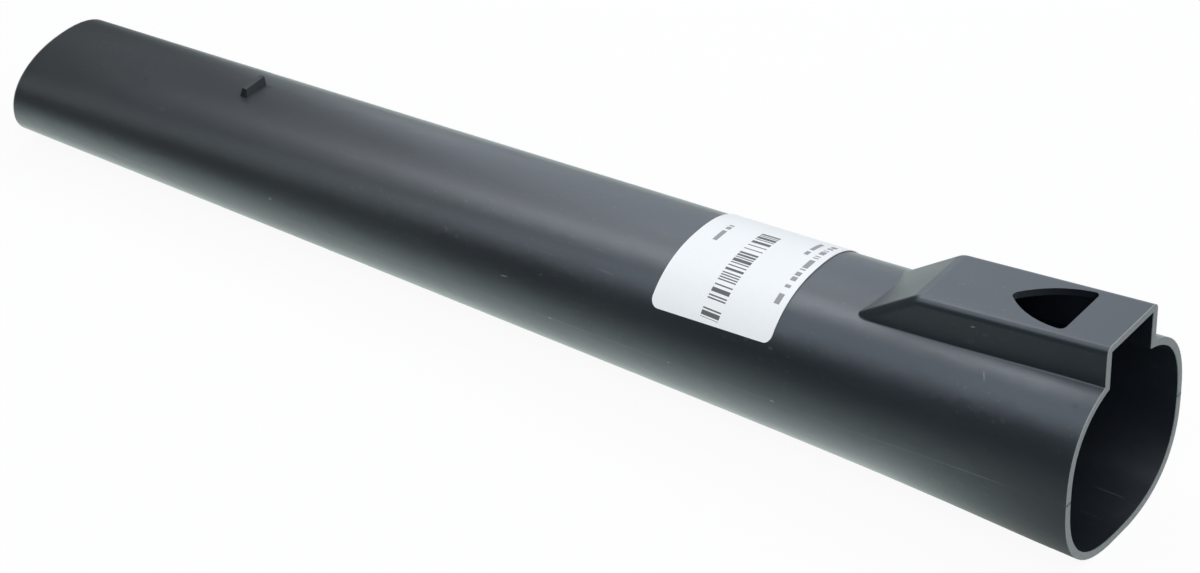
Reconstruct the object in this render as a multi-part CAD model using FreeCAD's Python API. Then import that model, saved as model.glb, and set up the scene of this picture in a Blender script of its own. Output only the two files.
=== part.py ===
import FreeCAD, Part
import math
import os

# Blow tube of a hand-held leaf blower: one thin-walled moulding, and the paper label stuck on it.
# The tube lies along X, with its socket end at x = 0 and its mouth at negative x. Z is up, and z = 0
# is the middle of the socket. Every section stands on one straight floor line, so the tube rests flat.
# All sizes are in millimetres.

# Skin of the tube, measured outside
tube_length = 373.0
flare_length = 73.0
flare_ease = 30.0
socket_width = 62.2
socket_height = 59.8
throat_width = 55.4
throat_height = 52.4
mouth_width = 47.8
mouth_height = 29.5
wall = 2.2

# Flat along the underside that the tube lies on, by how much of the wall it takes off
rest_flat = 0.15

# How square each section is: 2 is an ellipse, and a larger power is boxier
socket_power = 2.5
throat_power = 2.3
mouth_power = 2.2

# Latch tower on the socket
tower_width = 26.8
tower_top = 41.2
tower_slope_deg = 7.0
tower_length = 60.0
ramp_angle_deg = 35.5
tower_round = 2.4
crest_round = 6.0
tower_foot_round = 0.6

# Latch window in the tower's top: a pointed arch with its base towards the socket end
window_setback = 15.6
window_width = 20.4
window_length = 22.0
window_corner = 1.8
window_tip_round = 2.0

# Catch on the crown near the mouth: a cross lug with a steep locking face towards the socket end
catch_setback = 74.5
catch_side = 1.4
catch_width = 8.7
catch_top_length = 1.5
catch_base_length = 2.7
catch_end_slope = 0.9
catch_height = 2.8

# Paper label over the crown
label_setback = 99.1
label_length = 40.0
label_drop = 11.6
label_corner = 2.5
label_thickness = 0.2
label_glue = 0.1

# Sections of the loft, points of each section, and how far cutting bodies run past what they cut
section_count = 11
section_points = 32
overrun = 5.0

floor = -socket_height / 2


def blend(low, high, share):
    """Value between low and high."""
    return low + (high - low) * share


def flare(x):
    """Share of the socket's flare at x: none on the plain run, all of it at the rim, eased in between."""
    past_start = x + flare_length
    if past_start < -flare_ease:
        return 0.0
    if past_start < flare_ease:
        return (past_start + flare_ease) ** 2 / (4 * flare_ease * flare_length)
    return past_start / flare_length


def skin_sizes(x):
    """Half width, half height and power of the tube's section at x."""
    plain_length = tube_length - flare_length
    sizes = []
    for mouth, throat, socket in (
        (mouth_width / 2, throat_width / 2, socket_width / 2),
        (mouth_height / 2, throat_height / 2, socket_height / 2),
        (mouth_power, throat_power, socket_power),
    ):
        plain = blend(mouth, throat, (x + tube_length) / plain_length)
        plain_at_rim = blend(mouth, throat, tube_length / plain_length)
        sizes.append(plain + (socket - plain_at_rim) * flare(x))
    return sizes


def crown(x):
    """Height of the tube's top line at x."""
    return floor + 2 * skin_sizes(x)[1]


def section(x, grow):
    """Closed section wire at x, with the skin moved out by grow."""
    half_width, half_height, power = skin_sizes(x)
    centre = floor + half_height
    points = []
    for index in range(section_points):
        angle = 2 * math.pi * index / section_points - math.pi / 2
        across = math.cos(angle)
        up = math.sin(angle)
        scale = (abs(across) / (half_width + grow)) ** power + (abs(up) / (half_height + grow)) ** power
        radius = scale ** (-1 / power)
        points.append(FreeCAD.Vector(x, radius * across, centre + radius * up))
    curve = Part.BSplineCurve()
    curve.interpolate(Points=points, Parameters=list(range(section_points + 1)), PeriodicFlag=True)
    return Part.Wire([curve.toShape()])


def skin(grow=0.0, past=0.0):
    """Solid inside the tube's skin, moved out by grow and lengthened by past at both ends."""
    sections = []
    for index in range(section_count):
        x = blend(-tube_length - past, past, index / (section_count - 1))
        sections.append(section(x, grow))
    return Part.makeLoft(sections, True, False)


def tower_top_at(x):
    """Height of the tower's sloping top at x."""
    return tower_top + x * math.tan(math.radians(tower_slope_deg))


def tower(grow=0.0, past=0.0):
    """Latch tower as a solid that reaches down into the tube, drawn from the side and given its width."""
    slope = math.tan(math.radians(tower_slope_deg))
    ramp = math.tan(math.radians(ramp_angle_deg))
    top_lift = grow / math.cos(math.radians(tower_slope_deg))
    ramp_lift = grow / math.cos(math.radians(ramp_angle_deg))
    crest_x = -tower_length + (top_lift - ramp_lift) / (ramp - slope)
    crest_z = tower_top_at(crest_x) + top_lift
    outline = [
        FreeCAD.Vector(past, 0, 0),
        FreeCAD.Vector(past, 0, tower_top_at(past) + top_lift),
        FreeCAD.Vector(crest_x, 0, crest_z),
        FreeCAD.Vector(crest_x - crest_z / ramp, 0, 0),
    ]
    face = Part.Face(Part.makePolygon(outline + outline[:1]))
    half_width = tower_width / 2 + grow
    face.translate(FreeCAD.Vector(0, -half_width, 0))
    return face.extrude(FreeCAD.Vector(0, 2 * half_width, 0))


def rounded_tower():
    """Outer tower with its crest rounded, and then the edges along both its sides."""
    body = tower()
    for radius, across in ((crest_round, True), (tower_round, False)):
        edges = []
        for edge in body.Edges:
            box = edge.BoundBox
            on_end = abs(box.XMin) < 0.01
            on_base = box.ZMax < 0.01
            runs_across = box.YLength > 0.01
            if runs_across == across and not on_end and not on_base:
                edges.append(edge)
        body = body.makeFillet(radius, edges)
    return body


def uprights_at(prism, x):
    """Upright edges of a prism that stand at x."""
    found = []
    for edge in prism.Edges:
        box = edge.BoundBox
        if box.ZLength > tower_top and abs(box.Center.x - x) < 0.01:
            found.append(edge)
    return found


def window():
    """Cutting body of the latch window, an upright prism on a pointed arch."""
    half = window_width / 2
    centre_offset = (window_length ** 2 - half ** 2) / (2 * half)
    radius = half + centre_offset
    base_x = -window_setback
    mid_angle = math.atan2(window_length, centre_offset) / 2
    mid_x = base_x - radius * math.sin(mid_angle)
    mid_y = radius * math.cos(mid_angle) - centre_offset
    near = FreeCAD.Vector(base_x, -half, 0)
    far = FreeCAD.Vector(base_x, half, 0)
    tip = FreeCAD.Vector(base_x - window_length, 0, 0)
    near_side = Part.Arc(near, FreeCAD.Vector(mid_x, -mid_y, 0), tip).toShape()
    far_side = Part.Arc(tip, FreeCAD.Vector(mid_x, mid_y, 0), far).toShape()
    base = Part.LineSegment(far, near).toShape()
    face = Part.Face(Part.Wire([near_side, far_side, base]))
    prism = face.extrude(FreeCAD.Vector(0, 0, tower_top + overrun))
    corners = uprights_at(prism, base_x)
    prism = prism.makeFillet(window_corner, corners)
    return prism.makeFillet(window_tip_round, uprights_at(prism, tip.x))


def catch():
    """Catch near the mouth, a lug with sloping back and end that starts inside the wall."""
    face_x = -tube_length + catch_setback
    near_y = catch_side - catch_width / 2
    far_y = catch_side + catch_width / 2
    rings = []
    for length, far_end, height in (
        (catch_base_length, far_y + catch_end_slope, -wall / 2),
        (catch_top_length, far_y, catch_height),
    ):
        z = crown(face_x) + height
        outline = [
            FreeCAD.Vector(face_x, near_y, z),
            FreeCAD.Vector(face_x, far_end, z),
            FreeCAD.Vector(face_x - length, far_end, z),
            FreeCAD.Vector(face_x - length, near_y, z),
        ]
        rings.append(Part.makePolygon(outline + outline[:1]))
    return Part.makeLoft(rings, True, True)


def edges_between(body, first, second):
    """Edges of body that lie on the skins of both other shapes."""
    found = []
    for edge in body.Edges:
        middle = Part.Vertex(edge.valueAt((edge.FirstParameter + edge.LastParameter) / 2))
        on_first = min(middle.distToShape(face)[0] for face in first.Faces) < 0.001
        on_second = min(middle.distToShape(face)[0] for face in second.Faces) < 0.001
        if on_first and on_second:
            found.append(edge)
    return found


def below_flat():
    """Cutting body under the flat that the tube lies on."""
    corner = FreeCAD.Vector(-tube_length - overrun, -socket_width / 2, floor - overrun)
    return Part.makeBox(tube_length + 2 * overrun, socket_width, overrun + rest_flat, corner)


def nozzle_tube():
    """The whole moulding: skin and tower as one hollow wall, with its window, catch and flat."""
    plain_skin = skin()
    plain_tower = rounded_tower()
    body = plain_skin.fuse(plain_tower).removeSplitter()
    body = body.makeFillet(tower_foot_round, edges_between(body, plain_skin, plain_tower))
    hollow = skin(-wall, overrun).fuse(tower(-wall, overrun))
    return body.fuse(catch()).cut(hollow).cut(window()).cut(below_flat())


def label():
    """Paper label wrapped over the crown on its film of glue, with rounded lower corners."""
    end_x = -label_setback
    start_x = end_x - label_length
    ceiling = crown(0)
    outline = [
        FreeCAD.Vector(start_x, -socket_width, crown(start_x) - label_drop),
        FreeCAD.Vector(end_x, -socket_width, crown(end_x) - label_drop),
        FreeCAD.Vector(end_x, -socket_width, ceiling),
        FreeCAD.Vector(start_x, -socket_width, ceiling),
    ]
    face = Part.Face(Part.makePolygon(outline + outline[:1]))
    prism = face.extrude(FreeCAD.Vector(0, 2 * socket_width, 0))
    corners = []
    for edge in prism.Edges:
        box = edge.BoundBox
        if box.YLength > socket_width and box.ZMax < ceiling - label_drop / 2:
            corners.append(edge)
    prism = prism.makeFillet(label_corner, corners)
    return skin(label_glue + label_thickness).common(prism).cut(skin(label_glue))


def write(name, shape):
    """Save one piece, after checking that it is a single sound solid."""
    solid = shape.Solids[0]
    assert len(shape.Solids) == 1 and solid.isValid(), name
    solid.exportStep("parts/" + name + ".step")


os.makedirs("parts", exist_ok=True)
write("nozzle_tube", nozzle_tube())
write("label", label())
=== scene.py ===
import math
import bpy
from mathutils import Matrix, Vector


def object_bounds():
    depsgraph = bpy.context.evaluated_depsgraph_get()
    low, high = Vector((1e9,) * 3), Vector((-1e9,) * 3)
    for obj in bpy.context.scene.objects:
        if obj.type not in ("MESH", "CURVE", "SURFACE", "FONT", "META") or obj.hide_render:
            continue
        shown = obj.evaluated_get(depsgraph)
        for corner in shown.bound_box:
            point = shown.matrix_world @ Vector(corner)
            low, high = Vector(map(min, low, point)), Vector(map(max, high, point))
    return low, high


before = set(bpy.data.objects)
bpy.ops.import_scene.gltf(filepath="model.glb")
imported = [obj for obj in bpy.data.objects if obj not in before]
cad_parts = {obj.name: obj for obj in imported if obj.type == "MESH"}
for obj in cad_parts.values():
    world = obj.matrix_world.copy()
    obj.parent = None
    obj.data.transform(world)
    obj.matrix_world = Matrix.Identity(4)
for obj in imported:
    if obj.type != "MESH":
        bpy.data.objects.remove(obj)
cad_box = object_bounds()

# Blow tube and its paper label, both shown as the solids that they are. This script adds their materials,
# a floor, lamps and a camera. Lengths are in metres, apart from those that are said to be in millimetres or
# are multiplied by MM. Angles are in degrees.
MM = 0.001
WHITE = (1, 1, 1, 1)

# Ends of the tube along X, and where its flare towards the socket begins
MOUTH_X = cad_box[0].x
SOCKET_X = cad_box[1].x
FLARE_X = -73 * MM

# Camera, fitted to the photograph, with its lens and sensor in millimetres
CAMERA_PLACE = Vector((0.50512, -0.97839, 0.82345))
CAMERA_AZIMUTH = 34.72
CAMERA_ELEVATION = 35.166
CAMERA_ROLL = -0.143
CAMERA_LENS = 151.35
CAMERA_SENSOR = 36.0

# Floor: its size, its colour under the lamps, and the share of plain white in what the camera sees of it
FLOOR_SIZE = 24.0
FLOOR_COLOUR = (0.86, 0.86, 0.86, 1)
FLOOR_WHITE = 0.93

# Painted pool of light: the floor glows brightest around the tube and only gloss shows it, as a painted
# reflection of a lit floor. Along X and along Y: its low end and how far it fades past that, then its high
# end and how far it fades past that. POOL_REST is what is left far away.
POOL_SPANS = [
    (MOUTH_X, 0.037, -0.075, 0.037),
    (-0.031, 0.023, 0.031, 0.42),
]
POOL_REST = 0.07
POOL_COLOUR = (0.87, 0.98, 0.94, 1)

# Square soft lamps: name, colour, the X that it faces, distance, size, azimuth from +X, elevation, watts.
# The fills stand on the socket's side and give plain light. The others are what the tube's gloss shows.
DAY = (0.95, 0.985, 1.0)
COOL = (0.97, 0.965, 1.01)
SKY = (0.89, 0.955, 1.06)
LAMPS = [
    ("fill", DAY, -0.15, 1.5, 1.5, 306, 38, 16.0),
    ("fill_back", DAY, -0.15, 1.5, 1.4, 46, 55, 12.8),
    ("front_far", DAY, -0.27, 1.3, 0.8, 226, 39, 0.75),
    ("top_far", DAY, -0.15, 1.3, 0.8, 200, 60, 0.15),
    ("back_far", DAY, -0.42, 1.3, 0.8, 129, 28, 0.26),
    ("front", SKY, -0.01, 0.6, 0.36, 223, 46, 0.32),
    ("top", COOL, -0.08, 0.65, 0.25, 176, 56, 0.39),
    ("back_high", COOL, -0.03, 0.6, 0.36, 153, 50, 0.46),
    ("back", SKY, 0.02, 0.6, 0.45, 128, 22, 0.49),
]

# Faint light from all around
WORLD_COLOUR = (0.9, 0.95, 1.0, 1)
WORLD_STRENGTH = 0.04

# Noise: scale, squeeze along X, where less than 1 draws it out along the tube, and detail
SCUFF_NOISE = (1400, 0.035, 2.0)
SCUFF_PATCH_NOISE = (28, 0.5, 2.0)
SPECK_NOISE = (700, 1, 1.0)
DUSTY_NOISE = (35, 0.6, 2.0)
TONE_NOISE = (22, 0.45, 4.0)
GLOSS_NOISE = (45, 0.3, 5.0)
GRAIN_NOISE = (2600, 1, 2.0)
FIBRE_NOISE = (900, 1, 3.0)

# Values of the noise at which each kind of wear starts to show and shows in full
SCUFF_RANGE = (0.66, 0.74)
SCUFF_PATCH_RANGE = (0.48, 0.68)
SPECK_RANGE = (0.67, 0.75)

# Lowest and highest value of the noise that counts, and the dustiness or roughness that each of them gives
DUSTY_RANGE = (0.40, 0.65, 0.2, 1.0)
PLASTIC_ROUGHNESS = (0.3, 0.7, 0.31, 0.43)
PAPER_ROUGHNESS = (0.3, 0.7, 0.42, 0.55)

# Mould line along both sides: its drop along the flare and from there to the mouth, the distances from it
# over which it fades, and the same for its dark seam on the cut ends
FLARE_DROP = 6.7 * MM
RUN_DROP = 11.45 * MM
LINE_FADE = (0.05 * MM, 0.3 * MM)
SEAM_FADE = (0.25 * MM, 0.6 * MM)

# Depths behind both ends of the tube at which the colour of the cut wall starts and is full
CUT_START = 0.35 * MM
CUT_FULL = 0.1 * MM

# A face is an inner one where the tube's middle lies further in front of it than this
INNER_DISTANCE = 1.0 * MM

# Small marks in millimetres: centre, half lengths, and turn about Y. The last dark one is painted shade
# that darkens the catch and paints its shadow on the tube around it.
LIGHT_MARKS = [
    ((-34, -19.1, 21.8), (0.16, 4, 1.5), 49),
    ((-41.4, -13.4, 31.7), (0.9, 1, 0.35), 20),
    ((-273.4, -25, -9.2), (0.7, 2, 0.5), 0),
    ((-188.3, -25.7, -2.7), (1.6, 2, 0.25), 8),
    ((-96.1, -27.3, -7.5), (0.9, 2, 0.4), 0),
    ((-131, -26.8, -8.9), (0.5, 2, 0.3), 0),
    ((-172, -26.3, -10.5), (0.8, 2, 0.35), 0),
]
DARK_MARKS_AND_CATCH_SHADE = [
    ((-5, -20.2, 24.6), (0.8, 2, 0.6), 0),
    ((-333, -8, 2), (0.8, 0.8, 2), 0),
    # Painted shade on the catch, with its painted shadow on the tube around it
    ((-299.8, 1.4, 7.4), (4.6, 10, 4.4), 0),
]

# Share of a mark's half length at which it starts to fade
MARK_CORE = 0.5

# Colour of the plastic at the socket and the lighter colour towards the mouth, where along X it turns from
# one to the other, and the shares of that change that come from the place and from noise
SOCKET_END_COLOUR = (0.005, 0.009, 0.016, 1)
MOUTH_END_COLOUR = (0.027, 0.030, 0.031, 1)
TONE_SPAN = (-50 * MM, -330 * MM)
TONE_BY_PLACE = 0.6
TONE_BY_NOISE = 0.4

# What covers that colour, from the lowest layer up: how much of what is below it hides, and its colour
LAYERS = {
    # The inner layer is painted shade: a darker colour on all faces inside the tube
    "inner": (0.92, (0.004, 0.006, 0.011, 1)),
    "scuffs": (0.25, (0.16, 0.17, 0.18, 1)),
    "dust": (0.18, (0.20, 0.21, 0.22, 1)),
    "mould_line": (0.3, (0.16, 0.17, 0.18, 1)),
    "cut_end": (0.85, (0.33, 0.35, 0.35, 1)),
    "seam": (0.75, (0.03, 0.03, 0.035, 1)),
    "light_marks": (0.5, (0.26, 0.27, 0.28, 1)),
    # Dark marks, and with them the painted shade on the catch and its painted shadow around it
    "dark_marks_and_catch_shade": (0.95, (0.003, 0.004, 0.005, 1)),
}

# Gloss of the plastic, and what scuffs, dark marks and the painted shade on the catch add to its roughness
PLASTIC_IOR = 1.49
SPECULAR_LEVEL = 1.0
SPECULAR_TINT = (0.79, 0.90, 0.99, 1)
COAT_WEIGHT = 1.0
COAT_ROUGHNESS = 0.36
SCUFF_ROUGHNESS = 0.08
DARK_MARK_AND_SHADE_ROUGHNESS = 0.2

# Relief of the plastic by what makes it, and the strength and depth of the bump on plastic and on paper
GRAIN_RELIEF = 0.12
LINE_RELIEF = 0.5
SCUFF_RELIEF = -0.3
PLASTIC_BUMP = (0.35, 0.05 * MM)
PAPER_BUMP = (0.15, 0.02 * MM)

# Label: radius of the tube under it, height of that circle's middle, and its colours
LABEL_RADIUS = 25.8 * MM
LABEL_MIDDLE = -5.5 * MM
PAPER_DARK = (0.84, 0.85, 0.865, 1)
PAPER_LIGHT = (0.88, 0.885, 0.895, 1)
INK_COLOUR = (0.05, 0.05, 0.055, 1)
INK_SHARE = 0.92

# Plain print in cells that stand in a row around the tube, in millimetres: pitch, share of the cells that
# are filled, seed of that choice, both ends along X, both ends around the tube from the crown, and darkness
PRINT_FIELDS = [
    (0.42, 0.5, 7, (-122.7, -116.6), (-26.6, 11.0), 1.0),
    (0.55, 0.72, 23, (-103.1, -101.3), (-16.5, 14.0), 0.75),
    (0.55, 0.72, 41, (-106.6, -105.2), (4.0, 13.0), 0.75),
    (0.55, 0.72, 58, (-133.1, -131.6), (-2.5, 8.0), 0.75),
]


def new_material(name):
    """Empty node material and its node tree."""
    material = bpy.data.materials.new(name)
    material.use_nodes = True
    material.node_tree.nodes.clear()
    return material, material.node_tree


def node(tree, kind, **values):
    """One shader node; values name its sockets by their label, or set its properties."""
    made = tree.nodes.new(kind)
    for key, value in values.items():
        if hasattr(made, key):
            setattr(made, key, value)
        else:
            made.inputs[key.replace("_", " ")].default_value = value
    return made


def feed(tree, socket, value):
    """Give an input a link or a plain value."""
    if hasattr(value, "is_linked"):
        tree.links.new(value, socket)
    else:
        socket.default_value = value


def calc(tree, operation, first, *others):
    """Result of a math node on one, two or more links or numbers, taken in turn."""
    result = first
    for other in others or (0.0,):
        made = node(tree, "ShaderNodeMath", operation=operation)
        feed(tree, made.inputs[0], result)
        feed(tree, made.inputs[1], other)
        result = made.outputs[0]
    return result


def weighted_sum(tree, *terms):
    """Sum of links, each times its weight."""
    products = [calc(tree, "MULTIPLY", link, weight) for link, weight in terms]
    return calc(tree, "ADD", *products)


def vector_calc(tree, operation, first, second=(0, 0, 0)):
    """Result of a vector math node, which is a number for a length or a dot product."""
    made = node(tree, "ShaderNodeVectorMath", operation=operation)
    feed(tree, made.inputs[0], first)
    feed(tree, made.inputs[1], second)
    return made.outputs["Value" if operation in ("LENGTH", "DOT_PRODUCT") else "Vector"]


def object_place(tree):
    """Place on the object, in the frame of the whole part."""
    return node(tree, "ShaderNodeTexCoord").outputs["Object"]


def coordinates(tree, place):
    """X, Y and Z of a place."""
    made = node(tree, "ShaderNodeSeparateXYZ")
    tree.links.new(place, made.inputs[0])
    return made.outputs


def ramp(tree, value, start, end, low=0.0, high=1.0, kind="SMOOTHSTEP"):
    """Value turned from the range start to end into low to high, and held there."""
    made = node(
        tree, "ShaderNodeMapRange", interpolation_type=kind,
        From_Min=start, From_Max=end, To_Min=low, To_Max=high,
    )
    tree.links.new(value, made.inputs["Value"])
    return made.outputs["Result"]


def within(tree, value, low, high):
    """1 where a length lies between two others in millimetres."""
    above = calc(tree, "GREATER_THAN", value, low * MM)
    below = calc(tree, "LESS_THAN", value, high * MM)
    return calc(tree, "MULTIPLY", above, below)


def blend(tree, share, first, second):
    """Colour between two colours or links."""
    made = node(tree, "ShaderNodeMix", data_type="RGBA")
    tree.links.new(share, made.inputs["Factor"])
    colours = [socket for socket in made.inputs if socket.type == "RGBA"]
    feed(tree, colours[0], first)
    feed(tree, colours[1], second)
    return [socket for socket in made.outputs if socket.type == "RGBA"][0]


def cloud(tree, place, scale, squeeze, detail):
    """Noise in object space, with X times squeeze."""
    mapped = node(tree, "ShaderNodeMapping", Scale=(squeeze, 1, 1))
    tree.links.new(place, mapped.inputs["Vector"])
    made = node(tree, "ShaderNodeTexNoise", Scale=scale, Detail=detail)
    tree.links.new(mapped.outputs[0], made.inputs["Vector"])
    return made.outputs["Fac"]


def marks(tree, place, spots):
    """Soft ellipsoids: 1 in their middles and 0 outside."""
    masks = []
    for centre, size, turn in spots:
        moved = vector_calc(tree, "SUBTRACT", place, [v * MM for v in centre])
        turned = node(tree, "ShaderNodeVectorRotate", rotation_type="Y_AXIS", Angle=math.radians(turn))
        tree.links.new(moved, turned.inputs["Vector"])
        scaled = vector_calc(tree, "DIVIDE", turned.outputs[0], [v * MM for v in size])
        masks.append(ramp(tree, vector_calc(tree, "LENGTH", scaled), MARK_CORE, 1.0, 1.0, 0.0))
    return calc(tree, "MAXIMUM", *masks)


def set_surface(tree, shader):
    """Make a shader the material's surface."""
    out = node(tree, "ShaderNodeOutputMaterial")
    tree.links.new(shader.outputs[0], out.inputs["Surface"])


def bump(tree, height, strength, depth):
    """Normal that is bent by a relief."""
    made = node(tree, "ShaderNodeBump", Strength=strength, Distance=depth)
    tree.links.new(height, made.inputs["Height"])
    return made.outputs[0]


def pool_strength(tree, axes):
    """Brightness of the painted pool of light on the floor, from how far a place lies past its ends."""
    square = 0.0
    for along, (low, low_fade, high, high_fade) in zip(axes, POOL_SPANS):
        before = calc(tree, "DIVIDE", calc(tree, "SUBTRACT", low, along), low_fade)
        after = calc(tree, "DIVIDE", calc(tree, "SUBTRACT", along, high), high_fade)
        past = calc(tree, "MAXIMUM", before, after, 0.0)
        square = calc(tree, "ADD", calc(tree, "MULTIPLY", past, past), square)
    pool = calc(tree, "DIVIDE", 1.0 - POOL_REST, calc(tree, "ADD", square, 1.0))
    return calc(tree, "ADD", pool, POOL_REST)


def floor_material():
    """Pale floor that the camera sees as white with a shadow, and gloss sees as the painted pool of light.
    """
    material, tree = new_material("floor_white")
    pool = pool_strength(tree, coordinates(tree, object_place(tree)))
    path = node(tree, "ShaderNodeLightPath")
    camera = path.outputs["Is Camera Ray"]
    mirrored = calc(tree, "MAXIMUM", path.outputs["Is Glossy Ray"], path.outputs["Is Transmission Ray"])
    share = calc(tree, "MAXIMUM", calc(tree, "MULTIPLY", camera, FLOOR_WHITE), mirrored)

    lit = node(tree, "ShaderNodeBsdfDiffuse", Color=FLOOR_COLOUR)
    glow = node(tree, "ShaderNodeEmission")
    tree.links.new(blend(tree, camera, POOL_COLOUR, WHITE), glow.inputs["Color"])
    tree.links.new(calc(tree, "MAXIMUM", camera, pool), glow.inputs["Strength"])
    mix = node(tree, "ShaderNodeMixShader")
    tree.links.new(share, mix.inputs["Fac"])
    tree.links.new(lit.outputs[0], mix.inputs[1])
    tree.links.new(glow.outputs[0], mix.inputs[2])
    set_surface(tree, mix)
    return material


def add_floor(height):
    """Flat square floor at a height."""
    mesh = bpy.data.meshes.new("floor")
    half = FLOOR_SIZE / 2
    corners = [(-half, -half, height), (half, -half, height), (half, half, height), (-half, half, height)]
    mesh.from_pydata(corners, [], [(0, 1, 2, 3)])
    obj = bpy.data.objects.new("floor", mesh)
    bpy.context.scene.collection.objects.link(obj)
    mesh.materials.append(floor_material())


def add_camera():
    """Camera at the photograph's place."""
    data = bpy.data.cameras.new("camera")
    data.lens = CAMERA_LENS
    data.sensor_width = CAMERA_SENSOR
    obj = bpy.data.objects.new("camera", data)
    turn = Matrix.Rotation(math.radians(CAMERA_AZIMUTH), 4, "Z")
    tilt = Matrix.Rotation(math.radians(90 - CAMERA_ELEVATION), 4, "X")
    roll = Matrix.Rotation(math.radians(CAMERA_ROLL), 4, "Z")
    obj.matrix_world = Matrix.Translation(CAMERA_PLACE) @ turn @ tilt @ roll
    bpy.context.scene.collection.objects.link(obj)
    bpy.context.scene.camera = obj


def add_lamp(name, colour, facing_x, distance, size, azimuth, elevation, power):
    """Square soft lamp that faces a place on the X axis and that the camera doesn't see."""
    data = bpy.data.lights.new(name, "AREA")
    data.shape = "SQUARE"
    data.size = size
    data.energy = power
    data.color = colour
    obj = bpy.data.objects.new(name, data)
    around = Matrix.Rotation(math.radians(azimuth), 3, "Z")
    up = Matrix.Rotation(math.radians(-elevation), 3, "Y")
    away = around @ up @ Vector((1, 0, 0))
    obj.location = Vector((facing_x, 0, 0)) + distance * away
    obj.rotation_euler = (-away).to_track_quat("-Z", "Y").to_euler()
    obj.visible_camera = False
    bpy.context.scene.collection.objects.link(obj)


def add_world():
    """Faint even light from all around."""
    world = bpy.data.worlds.new("studio")
    bpy.context.scene.world = world
    world.use_nodes = True
    background = world.node_tree.nodes["Background"]
    background.inputs["Color"].default_value = WORLD_COLOUR
    background.inputs["Strength"].default_value = WORLD_STRENGTH


def above_mould_line(tree, x, z):
    """Height above the mould line, which falls from the socket's middle to the mouth."""
    on_flare = ramp(tree, x, FLARE_X, SOCKET_X, -FLARE_DROP, 0.0, "LINEAR")
    on_run = ramp(tree, x, MOUTH_X, FLARE_X, -RUN_DROP, 0.0, "LINEAR")
    return calc(tree, "SUBTRACT", z, calc(tree, "ADD", on_flare, on_run))


def inner_faces(tree, y, above_line):
    """1 on faces that look towards the tube's middle, at the mould line's height."""
    from_middle = node(tree, "ShaderNodeCombineXYZ")
    tree.links.new(y, from_middle.inputs["Y"])
    tree.links.new(above_line, from_middle.inputs["Z"])
    normal = node(tree, "ShaderNodeNewGeometry").outputs["True Normal"]
    facing = vector_calc(tree, "DOT_PRODUCT", from_middle.outputs[0], normal)
    return calc(tree, "LESS_THAN", facing, -INNER_DISTANCE)


def plastic_layers(tree, place):
    """Masks of all that covers the plain plastic, painted shade among them, by the names in LAYERS."""
    x, y, z = coordinates(tree, place)
    above_line = above_mould_line(tree, x, z)
    from_line = calc(tree, "ABSOLUTE", above_line)
    line = ramp(tree, from_line, *LINE_FADE, 1.0, 0.0)
    seam = ramp(tree, from_line, *SEAM_FADE, 1.0, 0.0)
    # Painted shade on the faces inside the tube
    inner = inner_faces(tree, y, above_line)
    outer = calc(tree, "SUBTRACT", 1.0, inner)

    scuffs = ramp(tree, cloud(tree, place, *SCUFF_NOISE), *SCUFF_RANGE)
    scuff_patches = ramp(tree, cloud(tree, place, *SCUFF_PATCH_NOISE), *SCUFF_PATCH_RANGE)
    specks = ramp(tree, cloud(tree, place, *SPECK_NOISE), *SPECK_RANGE)
    dusty = ramp(tree, cloud(tree, place, *DUSTY_NOISE), *DUSTY_RANGE)
    at_socket = ramp(tree, x, SOCKET_X - CUT_START, SOCKET_X - CUT_FULL)
    at_mouth = ramp(tree, x, MOUTH_X + CUT_START, MOUTH_X + CUT_FULL)
    cut_end = calc(tree, "MAXIMUM", at_socket, at_mouth)
    return {
        "inner": inner,
        "scuffs": calc(tree, "MULTIPLY", scuffs, scuff_patches),
        "dust": calc(tree, "MULTIPLY", specks, dusty, outer),
        "mould_line": calc(tree, "MULTIPLY", line, outer, dusty),
        "cut_end": cut_end,
        "seam": calc(tree, "MULTIPLY", seam, cut_end),
        "light_marks": marks(tree, place, LIGHT_MARKS),
        # Dark marks, and with them the painted shade on the catch and its painted shadow around it
        "dark_marks_and_catch_shade": marks(tree, place, DARK_MARKS_AND_CATCH_SHADE),
    }


def plastic_material():
    """Satin anthracite moulding with uneven gloss, a mould line, scuffs, dust and small marks, with painted
    shade inside the tube and on the catch.
    """
    material, tree = new_material("tube_plastic")
    place = object_place(tree)
    masks = plastic_layers(tree, place)

    along = ramp(tree, coordinates(tree, place)["X"], *TONE_SPAN)
    patchy = cloud(tree, place, *TONE_NOISE)
    mouth_share = weighted_sum(tree, (along, TONE_BY_PLACE), (patchy, TONE_BY_NOISE))
    colour = blend(tree, mouth_share, SOCKET_END_COLOUR, MOUTH_END_COLOUR)
    for name, (share, layer_colour) in LAYERS.items():
        colour = blend(tree, calc(tree, "MULTIPLY", masks[name], share), colour, layer_colour)

    plain_rough = ramp(tree, cloud(tree, place, *GLOSS_NOISE), *PLASTIC_ROUGHNESS)
    more_rough = weighted_sum(
        tree, (masks["scuffs"], SCUFF_ROUGHNESS), (masks["dark_marks_and_catch_shade"], DARK_MARK_AND_SHADE_ROUGHNESS),
    )
    relief = weighted_sum(
        tree, (cloud(tree, place, *GRAIN_NOISE), GRAIN_RELIEF), (masks["mould_line"], LINE_RELIEF),
        (masks["scuffs"], SCUFF_RELIEF),
    )
    normal = bump(tree, relief, *PLASTIC_BUMP)

    shader = node(
        tree, "ShaderNodeBsdfPrincipled", IOR=PLASTIC_IOR, Specular_IOR_Level=SPECULAR_LEVEL,
        Specular_Tint=SPECULAR_TINT, Coat_Weight=COAT_WEIGHT, Coat_Roughness=COAT_ROUGHNESS,
    )
    tree.links.new(colour, shader.inputs["Base Color"])
    tree.links.new(calc(tree, "ADD", plain_rough, more_rough), shader.inputs["Roughness"])
    tree.links.new(normal, shader.inputs["Normal"])
    tree.links.new(normal, shader.inputs["Coat Normal"])
    set_surface(tree, shader)
    return material


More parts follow.
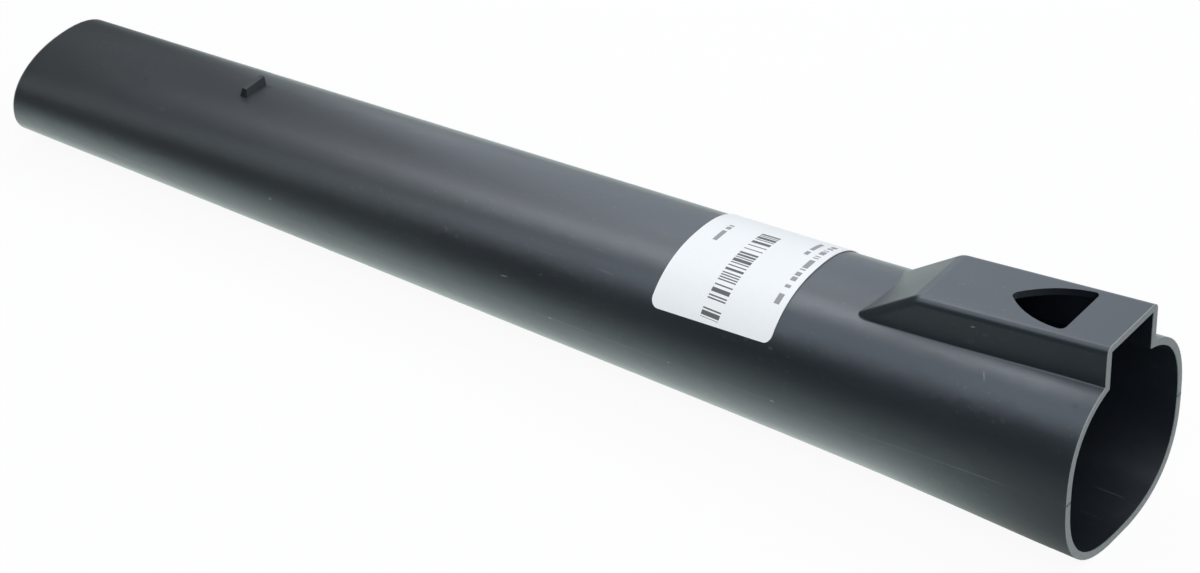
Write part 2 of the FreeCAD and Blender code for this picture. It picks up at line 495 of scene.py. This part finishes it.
def filled_cells(tree, along, pitch, share, seed):
    """Cells of one pitch in millimetres along a length, of which a share is filled at random."""
    index = calc(tree, "FLOOR", calc(tree, "DIVIDE", along, pitch * MM))
    chance = node(tree, "ShaderNodeTexWhiteNoise", noise_dimensions="1D")
    middle = calc(tree, "ADD", index, seed + 0.5)
    tree.links.new(middle, chance.inputs["W"])
    return calc(tree, "LESS_THAN", chance.outputs["Value"], share)


def label_print(tree, place):
    """Mask of the print, a strip of plain bars and rows of plain dashes around the tube."""
    x, y, z = coordinates(tree, place)
    angle = calc(tree, "ARCTAN2", y, calc(tree, "SUBTRACT", z, LABEL_MIDDLE))
    around = calc(tree, "MULTIPLY", angle, LABEL_RADIUS)
    fields = []
    for pitch, share, seed, ends_along, ends_around, darkness in PRINT_FIELDS:
        cells = filled_cells(tree, around, pitch, share, seed)
        in_length = within(tree, x, *ends_along)
        in_width = within(tree, around, *ends_around)
        fields.append(calc(tree, "MULTIPLY", cells, in_length, in_width, darkness))
    return calc(tree, "MAXIMUM", *fields)


def label_material():
    """Semi-matte white paper with plain print."""
    material, tree = new_material("label_paper")
    place = object_place(tree)
    fibre = cloud(tree, place, *FIBRE_NOISE)
    paper = blend(tree, fibre, PAPER_DARK, PAPER_LIGHT)
    ink = calc(tree, "MULTIPLY", label_print(tree, place), INK_SHARE)

    shader = node(tree, "ShaderNodeBsdfPrincipled")
    tree.links.new(blend(tree, ink, paper, INK_COLOUR), shader.inputs["Base Color"])
    tree.links.new(ramp(tree, fibre, *PAPER_ROUGHNESS), shader.inputs["Roughness"])
    tree.links.new(bump(tree, fibre, *PAPER_BUMP), shader.inputs["Normal"])
    set_surface(tree, shader)
    return material


def dress(name, material):
    """Give one node of the frame its material."""
    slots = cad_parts[name].data.materials
    slots.clear()
    slots.append(material)


bpy.context.scene.view_settings.view_transform = "Standard"
add_camera()
add_floor(cad_box[0].z)
add_world()
for lamp in LAMPS:
    add_lamp(*lamp)
dress("nozzle_tube", plastic_material())
dress("label", label_material())
